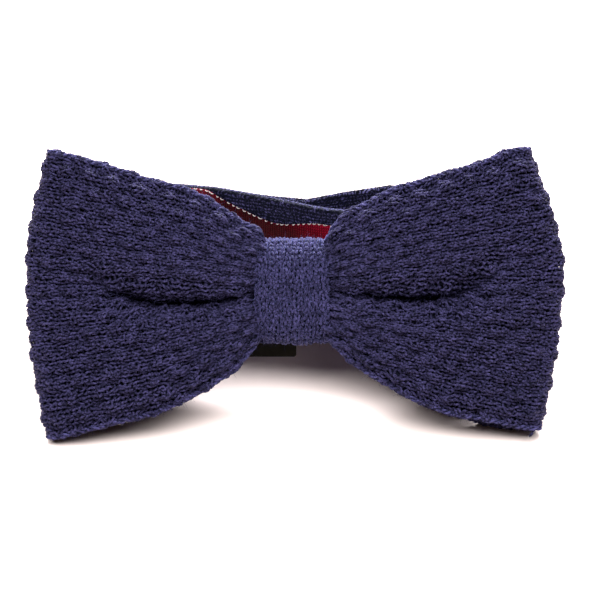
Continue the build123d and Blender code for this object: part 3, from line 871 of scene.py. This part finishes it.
def strap(name, path, thick):
    """Strap of the band's width with rounded edges and a knitted surface."""
    places, centre, up, out = path
    radius = thick / 2 - STRAP_SKIN
    flat = BAND_WIDE / 2 - STRAP_SKIN - radius
    face = np.linspace(-flat, flat, int(2 * flat / 0.31))
    arc = np.radians(np.linspace(-90, 90, 8)[1:-1])
    high = np.concatenate([face, flat + radius * np.cos(arc), face[::-1], -flat - radius * np.cos(arc)])
    high_normal = np.concatenate([0 * face, np.cos(arc), 0 * face, -np.cos(arc)])
    deep_normal = np.concatenate([0 * face - 1, np.sin(arc), 0 * face + 1, -np.sin(arc)])
    deep = radius * deep_normal
    raised = strap_relief(places[:, None], high + OTHER_FACE * (deep > 0))
    swell = 1 + 0.001 * band_wobble(places / 17.0, 3.3 + 0 * places)[:, None]
    h = high * swell + high_normal * raised
    d = deep + deep_normal * raised
    points = centre[:, None] + up[:, None] * h[..., None] + out[:, None] * d[..., None]
    rows, columns = h.shape
    index = np.arange(rows * columns).reshape(rows, columns)
    around = np.roll(index, -1, axis=1)
    faces = [quads(index[:-1], around[:-1], around[1:], index[1:])]
    bottom = np.arange(len(face))
    twin = 2 * len(face) + len(arc) - 1 - bottom
    for row, flip in ((0, False), (rows - 1, True)):
        cap = quads(bottom[:-1], twin[:-1], twin[1:], bottom[1:]) + row * columns
        faces.append(cap if flip else cap[:, ::-1])
    points = above_table(points.reshape(-1, 3), 0.08)
    made = make_mesh(name, points, np.concatenate(faces), BAND)
    laid_out = np.stack([places[:, None] + 0 * h, high + 0.6 * deep + 0 * h, 0 * h], -1)
    field = made.data.attributes.new("strap_place", "FLOAT_VECTOR", "POINT")
    field.data.foreach_set("vector", laid_out.astype(np.float32).ravel())
    return made


near_path = strap_path(*station_vectors(RIGHT_RUN + RIGHT_BEND[:6]))
neckband_near = strap("neckband_near", near_path, BAND_THICK)
far_path = strap_path(*station_vectors(RIGHT_BEND[5:] + FAR_RUN + LEFT_BEND + LEFT_RUN[:1]))
neckband_far = strap("neckband_far", far_path, BAND_THICK)
for piece in (neckband_near, neckband_far):
    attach(piece, "bow")
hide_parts("neckband")
tail_path = strap_path(*station_vectors(TAIL_RUN[1:] + TAIL_BEND + TAIL_FAR[:4]))
neckband_tail = strap("neckband_tail_outer", tail_path, TAIL_THICK)
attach(neckband_tail, "bow")
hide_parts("neckband_tail")

# the strap's turn through the hook, in the bow's plane, with the two near runs that lead to it
TURN_LEFT = -12.2
LEGS = [-23, -18]  # where the two legs of the turn lie, across
TURN_SPREAD = 0.9  # smoothing of the tight turns
half_turn = np.radians(np.linspace(-90, 90, 13))
turn_x = np.concatenate([LEGS, TURN_LEFT + BIGHT_HALF * np.cos(half_turn), LEGS[::-1]])
turn_n = PLATE_N + BIGHT_HALF * np.concatenate([[-1, -1], np.sin(half_turn), [1, 1]])
turn_points = [in_room(x, HOOK_S, n) for x, n in zip(turn_x, turn_n)]
main_points, main_ups = station_vectors(LEFT_RUN)
tail_points, tail_ups = station_vectors(TAIL_RUN)
hook_line = main_points + turn_points + tail_points
hook_ups = main_ups + [UP_FACE] * len(turn_points) + tail_ups
hook_strap = strap("neckband_hook_turn", strap_path(hook_line, hook_ups, spread=TURN_SPREAD), 1.5)
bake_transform(hook_strap)
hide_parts("hook_bight")

# the tail's last length, which the slide carries: it turns round the slide's middle bar
TURN_ROOM = 1.9  # inside the turn, for the bar
TURN_FRONT = SLIDE_Y + BAND_THICK / 2 + 0.35
TURN_BACK = TURN_FRONT + 2 * TAIL_THICK + TURN_ROOM
middle_y = (TURN_FRONT + TURN_BACK) / 2
half_y = (TURN_BACK - TURN_FRONT - TAIL_THICK) / 2
slide_points, slide_ups = station_vectors(TAIL_FAR[3:] + [
    (22.8, TURN_BACK + 4.0, SLIDE_Z, -26, 0), (26.4, TURN_BACK + 1.6, SLIDE_Z, -30, 0),
    (30.6, TURN_BACK - TAIL_THICK / 2, SLIDE_Z, -6, 0),
])
for angle in np.radians(np.linspace(90, -90, 11)):
    x, y = SLIDE_X + 0.6 + half_y * math.cos(angle), middle_y + half_y * math.sin(angle)
    slide_points.append(np.array([x, y, SLIDE_Z]))
slide_points.append(np.array([30.2, middle_y - half_y, SLIDE_Z]))
slide_ups = slide_ups + [UP] * (len(slide_points) - len(slide_ups))
slide_strap = strap("neckband_slide_turn", strap_path(slide_points, slide_ups, spread=TURN_SPREAD), 1.45)
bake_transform(slide_strap)
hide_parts("tail_end")

# ---- ribbon and its stitches
RIBBON_WIDE = 10.0
RIBBON_THICK = 0.22
RIBBON_Z = 11.4
RIBBON_STEP = 0.3
RIBBON_OFF = BAND_THICK / 2 + 0.16  # its back, from the middle of the strap it is sewn to
ribbon_stations = [(x, y, RIBBON_Z, heading, 0) for x, y, z, heading, lean in FAR_RUN[2:] + LEFT_BEND]
ribbon_places, ribbon_line, _, ribbon_out = strap_path(*station_vectors(ribbon_stations), step=RIBBON_STEP)
ribbon_rise = curve([
    (-60, 4.9), (-26, 5.4), (-23, 5.9), (-19.6, 5.9), (-17.6, 4.6), (-13.6, 2.7), (-10.4, 1.5),
    (-4.9, -0.4), (-1.3, 0.0), (3.1, 1.5), (6, 2.2), (8.9, 2.2), (20, 2.4),
], 0.8)
ribbon_bulge = curve([(-60, 0.1), (-3, 0.0), (4, 1.5), (20, 1.5)], 1.5)
ribbon_wave = noise(611)


def ribbon_grid(offset):
    """Points of one face of the ribbon, which rises and bulges along its length."""
    height = np.linspace(-RIBBON_WIDE / 2, RIBBON_WIDE / 2, 36)
    rise = ribbon_rise(ribbon_line[:, 0])[:, None]
    sway = 0.10 * ribbon_wave(ribbon_places[:, None] / 3.1, height / 4.0)
    bulge = ribbon_bulge(ribbon_line[:, 0])[:, None] * np.cos(np.pi * height / RIBBON_WIDE) ** 0.8
    points = ribbon_line[:, None] + ribbon_out[:, None] * (offset + sway + bulge)[..., None]
    return points + UP * (height + rise)[..., None]


points, faces = shell(ribbon_grid(RIBBON_OFF + RIBBON_THICK), ribbon_grid(RIBBON_OFF))
ribbon = make_mesh("lining_ribbon_woven", points, faces, RIBBON_RED)
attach(ribbon, "bow")
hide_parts("lining_ribbon")


def stitch_tubes(starts, ends, outs, radius, bulge):
    """Short rounded stitches that arch off a surface."""
    starts, ends, outs = (np.array(v, float) for v in (starts, ends, outs))
    t = np.linspace(0, 1, 9)
    line = starts[:, None] + (ends - starts)[:, None] * t[:, None]
    line = line + outs[:, None] * (bulge * np.sin(np.pi * t) - 0.12 * np.cos(2 * np.pi * t))[:, None]
    radii = radius * np.sqrt(np.clip(1 - (2 * t - 1) ** 6, 0.0, 1)) + YARN_TIP
    ups = np.broadcast_to(outs[:, None], line.shape)
    return tubes(line, ups, np.tile(radii, (len(starts), 1)), 7)


STITCHED_LONG = 58.0
STITCH_PITCH = 1.3
rng_stitch = np.random.default_rng(621)
for name, height in (("upper", RIBBON_WIDE / 2), ("lower", -RIBBON_WIDE / 2)):
    stitch_ends, outs = [], []
    for gone in np.arange(0.8, STITCHED_LONG, STITCH_PITCH):
        for place in (gone, gone + rng_stitch.uniform(0.45, 1.15)):
            i = int(place / RIBBON_STEP)
            base = ribbon_line[i] + ribbon_out[i] * (RIBBON_OFF + 0.20)
            stitch_ends.append(base + UP * (height + ribbon_rise(ribbon_line[i, 0])))
        outs.append(ribbon_out[i])
    points, faces = stitch_tubes(stitch_ends[::2], stitch_ends[1::2], outs, 0.10, 0.07)
    row = make_mesh(f"ribbon_{name}_stitches", points, faces, WHITE_THREAD)
    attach(row, "bow")
    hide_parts(f"ribbon_stitches_{name}")


# ---- sewing threads
def thread_piece(name, node, body, starts, ends, out):
    """Stitches of navy thread in place of a CAD node's."""
    points, faces = stitch_tubes(starts, ends, [out] * len(starts), 0.28, 0.18)
    made = make_mesh(name, points, faces, NAVY_THREAD)
    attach(made, body)
    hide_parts(node)


WAIST_S = 32.4
seam_n = -KNOT_THICK / 2 - 0.2
seam = [WAIST_S + (i - 3) * 1.7 for i in range(7)]
thread_piece(
    "knot_seam_stitches", "knot_seam_thread", "bow",
    [in_room(-6.7, s - 0.6, seam_n) for s in seam], [in_room(-4.9, s + 0.6, seam_n) for s in seam], -OUT_FACE,
)
# six upright tacks down the band's end, and two level ones at its top
tack_n = KNOT_BACK_N - BAND_THICK / 2 - 0.1
tacks = [(5.4, SEWN_S + (i - 2.5) * 3.2, 0.0, 1.1) for i in range(6)]
tacks += [(x, SEWN_S + 9.2, 0.75, 0.0) for x in (5.4, 7.4)]
thread_piece(
    "anchor_tack_stitches", "anchor_tack_thread", "bow",
    [in_room(x - half_x, s - half_s, tack_n) for x, s, half_x, half_s in tacks],
    [in_room(x + half_x, s + half_s, tack_n) for x, s, half_x, half_s in tacks], -OUT_FACE,
)
rows_z = [SLIDE_Z + (i - 4) * 2.0 for i in range(9)]
thread_piece(
    "tail_tack_stitches", "tail_tack_thread", "slide",
    [(SLIDE_X - 3.5, TURN_BACK + 0.12, z) for z in rows_z],
    [(SLIDE_X - 1.7, TURN_BACK + 0.12, z) for z in rows_z], (0.0, 1.0, 0.0),
)


def rings(centres, u, v, radii, thread, count):
    """Closed rings of thread, with radii along u and v."""
    t = np.linspace(0, 2 * np.pi, count + 1)[:, None]
    lines = np.array([centre + np.cos(t) * u * radii[0] + np.sin(t) * v * radii[1] for centre in centres])
    ups = np.broadcast_to(np.cross(u, v), lines.shape)
    return tubes(lines, ups, np.full(lines.shape[:2], thread), 7)


loop_centres = [in_room(1.7, WAIST_S + s, -KNOT_THICK / 2 - 0.62) for s in (-4.2, -1.4, 1.4, 4.2)]
points, faces = rings(loop_centres, ACROSS, OUT_FACE, (0.78, 0.78), 0.16, 40)
eye_loops = make_mesh("eye_tack_loops", points, faces, NAVY_THREAD)
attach(eye_loops, "bow")
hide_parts("eye_tack_thread")
turn_centres = [in_room((i - 1.6) * 1.5 + k * 0.42, WAIST_S, 0.0) for i in range(4) for k in (0, 1)]
points, faces = rings(turn_centres, UP_FACE, OUT_FACE, (10.45, 4.75), 0.24, 64)
cinch = make_mesh("cinch_thread_turns", points, faces, NAVY_THREAD)
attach(cinch, "bow")
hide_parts("cinch_thread")

# ---- hardware
for node in ("clasp_hook", "clasp_eye", "adjuster_slide"):
    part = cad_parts[node]
    part.data.materials.clear()
    part.data.materials.append(BLACK)
    if node != "clasp_eye":
        bevel = part.modifiers.new("softened edges", "BEVEL")
        bevel.width = 0.2 * MM
        bevel.segments = 2
        bevel.limit_method = "ANGLE"
        bevel.angle_limit = math.radians(40)

# ---- loose fibres and a yarn end
WING_FIBRES = 1300
KNOT_FIBRES = 260
FIBRE_RADIUS = 0.026
rng = np.random.default_rng(901)
fibres = []
for place, height, sign in fibre_seats:
    c = rng.uniform(5, FOLD_MIDDLE, WING_FIBRES)
    q = rng.uniform(-0.3, ALL_WALES + 0.3, WING_FIBRES)
    seat, normal = lifted(place, c, q, sign * (height(c, q) + 0.45))
    fibres.append((seat, normal * sign))
c, q = rng.uniform(0, KNOT_LONG, KNOT_FIBRES), rng.uniform(0, KNOT_ALL, KNOT_FIBRES)
fibres.append(lifted(knot_place, c, q, 0.45 + 0.0 * c))
seats, normals = (np.concatenate(column) for column in zip(*fibres))
count = len(seats)
stray = unit(rng.normal(size=(count, 3)))
long = rng.uniform(0.7, 2.0, count)
curled = long * rng.uniform(-0.5, 0.5, count)
t = np.linspace(0, 1, 6)[None, :, None]
lean = unit(normals * 0.75 + stray * 0.8)
curl = unit(np.cross(lean, stray))
line = seats[:, None] + lean[:, None] * t * long[:, None, None] + curl[:, None] * t**2 * curled[:, None, None]
radii = FIBRE_RADIUS * (1 - 0.7 * t[..., 0]) * np.ones((count, 1))
points, faces = tubes(room(line), room(np.broadcast_to(stray[:, None], line.shape)) - ORIGIN, radii, 3)
fibre_piece = make_mesh("loose_fibres", above_table(points, 0.02), faces, FUZZ)
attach(fibre_piece, "bow")

end_line = np.array([[53.0, 2.2, 2.4], [52.6, 1.2, 3.0], [52.3, 0.6, 3.1], [51.8, 0.3, 3.0]])
steps = np.linspace(0, 3, 16)
end_line = np.stack([np.interp(steps, np.arange(4), column) for column in end_line.T], -1)[None]
points, faces = tubes(room(end_line), np.broadcast_to(OUT_FACE, end_line.shape), np.full((1, 16), 0.26), 7)
yarn_end = make_mesh("yarn_end", above_table(points, 0.02), faces, YARN)
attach(yarn_end, "bow")

# ---- table and light
bpy.ops.mesh.primitive_plane_add(size=2.6, location=(0, 0, 0))
floor = bpy.context.object
floor.name = "floor"
paper, tree, shader = new_material("white table")
set_inputs(shader, {"Base Color": (0.86, 0.755, 0.715, 1.0), "Roughness": 0.9, "Specular IOR Level": 0.1})
floor.data.materials.append(paper)

# a faint warm fill, and past the table a pale backdrop that only the camera sees
world = bpy.data.worlds.new("studio")
world.use_nodes = True
scene.world = world
tree = world.node_tree
fill = tree.nodes["Background"]
set_inputs(fill, {"Color": (1.0, 0.66, 0.50, 1.0), "Strength": 0.045})
backdrop = tree.nodes.new("ShaderNodeBackground")
set_inputs(backdrop, {"Color": (0.86, 0.85, 0.85, 1.0), "Strength": 1.0})
seen = tree.nodes.new("ShaderNodeLightPath")
either = tree.nodes.new("ShaderNodeMixShader")
tree.links.new(seen.outputs["Is Camera Ray"], either.inputs["Fac"])
tree.links.new(fill.outputs["Background"], either.inputs[1])
tree.links.new(backdrop.outputs["Background"], either.inputs[2])
tree.links.new(either.outputs["Shader"], tree.nodes["World Output"].inputs["Surface"])


def soft_light(name, location, aim, wide, deep, watts, colour):
    """Rectangular studio light pointed at aim."""
    data = bpy.data.lights.new(name, "AREA")
    data.shape = "RECTANGLE"
    data.size = wide
    data.size_y = deep
    data.energy = watts
    data.color = colour
    light = bpy.data.objects.new(name, data)
    scene.collection.objects.link(light)
    light.location = location
    light.rotation_euler = (Vector(aim) - Vector(location)).to_track_quat("-Z", "Y").to_euler()


soft_light("overhead", (0.0, -0.33, 1.00), (0, 0, 0.02), 1.90, 0.62, 35.0, (1.0, 0.99, 1.0))
soft_light("rim", (0.05, 1.06, 0.56), (0, 0, 0.03), 1.20, 0.24, 74.0, (0.97, 0.96, 1.0))

view = scene.view_settings
view.view_transform = "Standard"
view.look = "None"
view.exposure = 0.0
view.gamma = 1.0


bpy.context.view_layer.update()
